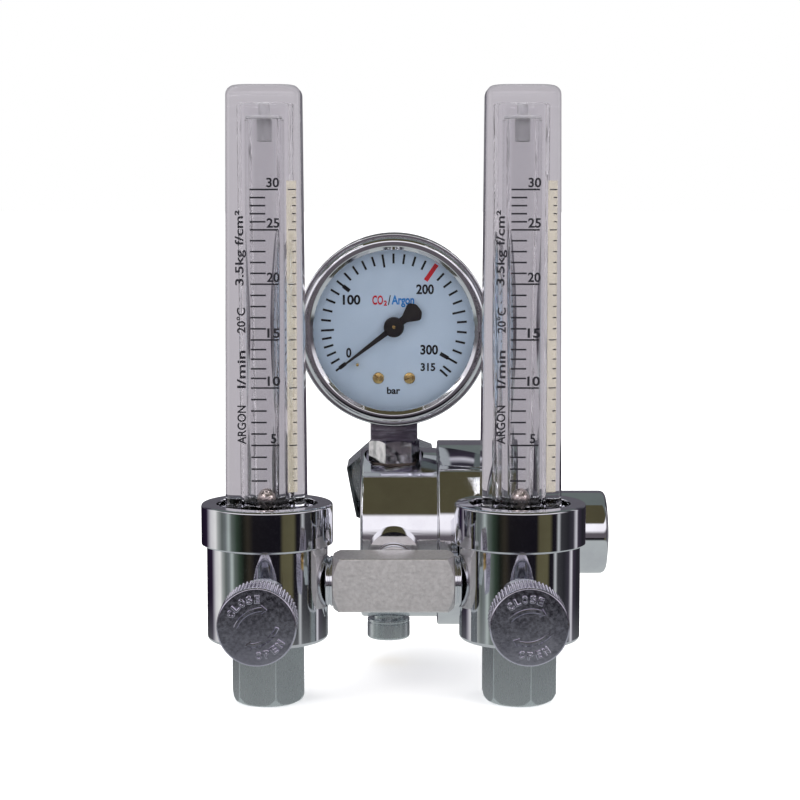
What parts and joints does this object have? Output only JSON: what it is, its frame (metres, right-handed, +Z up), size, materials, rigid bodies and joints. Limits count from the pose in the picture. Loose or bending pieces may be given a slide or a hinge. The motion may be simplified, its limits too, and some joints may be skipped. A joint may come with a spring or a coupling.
{
  "type": "gas regulator",
  "caption": "Cylinder gas regulator with a contents gauge, a cross bar and clear tube flowmeters, each with its own needle valve knob and outlet.",
  "frame": {"origin": "centre of the inlet's sealing face, on the inlet nut's axis", "axes": "+Y leaves through the inlet nut towards the gas cylinder, so the gauge and scales face -Y; +Z is up along the flowmeter tubes; +X is to the right seen from the front, towards the adjuster cap"},
  "size_m": [0.1342, 0.169, 0.194],
  "materials": {
    "chrome": "mirror-bright chrome plate",
    "satin_plate": "satin nickel plate",
    "hex_plate": "satin blue-grey plate",
    "knob": "dark chrome with straight knurl",
    "brass": "turned brass",
    "steel": "turned steel",
    "spring_steel": "wound spring steel",
    "rubber": "black rubber",
    "fibre": "red fibre washer",
    "soft_seal": "white sealing plastic",
    "clear_cover": "clear moulded plastic with printed scale",
    "clear_tube": "clear tapered tube",
    "gauge_glass": "clear gauge window",
    "dial": "pale printed dial",
    "pointer": "black lacquer",
    "ball": "polished steel ball"
  },
  "bodies": {
    "root": {"regulator_body": "chrome", "bonnet": "chrome", "adjuster_cap": "chrome", "adjusting_screw": "steel", "adjuster_lock_nut": "steel", "spring_button": "steel", "main_spring": "spring_steel", "diaphragm": "rubber", "valve_nozzle": "brass", "poppet_spring": "spring_steel", "valve_plug": "hex_plate", "inlet_nipple": "brass", "inlet_filter": "brass", "inlet_washer": "soft_seal", "relief_body": "hex_plate", "relief_spring": "spring_steel", "relief_screw": "brass", "gauge_adapter": "hex_plate", "gauge_socket": "satin_plate", "gauge_case": "chrome", "gauge_bezel": "chrome", "gauge_window": "gauge_glass", "window_gasket": "rubber", "gauge_dial": "dial", "dial_screws": "brass", "bourdon_tube": "brass", "movement_plates": "brass", "manifold_block": "satin_plate", "outlet_connector": "hex_plate", "side_nipples": "hex_plate", "seal_rings": "fibre", "meter_seals": "rubber", "left_meter_body": "chrome", "left_clamp_ring": "chrome", "left_cover": "clear_cover", "left_metering_tube": "clear_tube", "left_float_stop": "soft_seal", "left_outlet_hex": "hex_plate", "left_gland": "brass", "right_meter_body": "chrome", "right_clamp_ring": "chrome", "right_cover": "clear_cover", "right_metering_tube": "clear_tube", "right_float_stop": "soft_seal", "right_outlet_hex": "hex_plate", "right_gland": "brass"},
    "nut": {"inlet_nut": "hex_plate"},
    "relief_disc": {"relief_disc": "rubber"},
    "reducing_valve": {"valve_poppet": "brass", "diaphragm_plate": "brass"},
    "sector": {"sector_gear": "brass"},
    "pointer": {"gauge_pointer": "pointer", "pointer_arbor": "brass"},
    "left_ball": {"left_float_ball": "ball"},
    "right_ball": {"right_float_ball": "ball"},
    "left_needle": {"left_needle": "steel"},
    "right_needle": {"right_needle": "steel"},
    "left_knob": {"left_knob": "knob"},
    "right_knob": {"right_knob": "knob"}
  },
  "joints": [
    {"name": "left_valve_travel", "type": "slide", "parent": "root", "child": "left_needle", "axis": [0, -1, 0], "range_m": [0, 0.0025]},
    {"name": "left_valve_turn", "type": "hinge", "parent": "left_needle", "child": "left_knob", "pos_m": [-0.04, -0.147, -0.0214], "axis": [0, -1, 0], "range_deg": [0, 901]},
    {"name": "left_float_rise", "type": "slide", "parent": "root", "child": "left_ball", "axis": [0, 0, 1], "range_m": [0, 0.108]},
    {"name": "right_valve_travel", "type": "slide", "parent": "root", "child": "right_needle", "axis": [0, -1, 0], "range_m": [0, 0.0025]},
    {"name": "right_valve_turn", "type": "hinge", "parent": "right_needle", "child": "right_knob", "pos_m": [0.04, -0.147, -0.0214], "axis": [0, -1, 0], "range_deg": [0, 901]},
    {"name": "right_float_rise", "type": "slide", "parent": "root", "child": "right_ball", "axis": [0, 0, 1], "range_m": [0, 0.108]},
    {"name": "pointer_turn", "type": "hinge", "parent": "root", "child": "pointer", "pos_m": [0, -0.071, 0.0611], "axis": [0, 1, 0], "range_deg": [0, 260.5]},
    {"name": "sector_turn", "type": "hinge", "parent": "root", "child": "sector", "pos_m": [0, -0.071, 0.0446], "axis": [0, -1, 0], "range_deg": [0, 26]},
    {"name": "inlet_nut_spin", "type": "hinge", "parent": "root", "child": "nut", "pos_m": [0, 0, 0], "axis": [0, 1, 0], "continuous": true},
    {"name": "relief_lift", "type": "slide", "parent": "root", "child": "relief_disc", "axis": [0, 0, -1], "range_m": [0, 0.0015], "stiffness_N_per_m": 4000, "springref_m": -0.001, "deforming": ["relief_spring"]},
    {"name": "regulating_travel", "type": "slide", "parent": "root", "child": "reducing_valve", "axis": [1, 0, 0], "range_m": [0, 0.0007], "stiffness_N_per_m": 40000, "springref_m": -0.002, "deforming": ["main_spring", "poppet_spring"]}
  ],
  "couplings": [
    {"joint": "left_valve_turn", "follows": "left_valve_travel", "rad_per_m": 6283.2},
    {"joint": "right_valve_turn", "follows": "right_valve_travel", "rad_per_m": 6283.2},
    {"joint": "pointer_turn", "follows": "sector_turn", "ratio": 10}
  ]
}
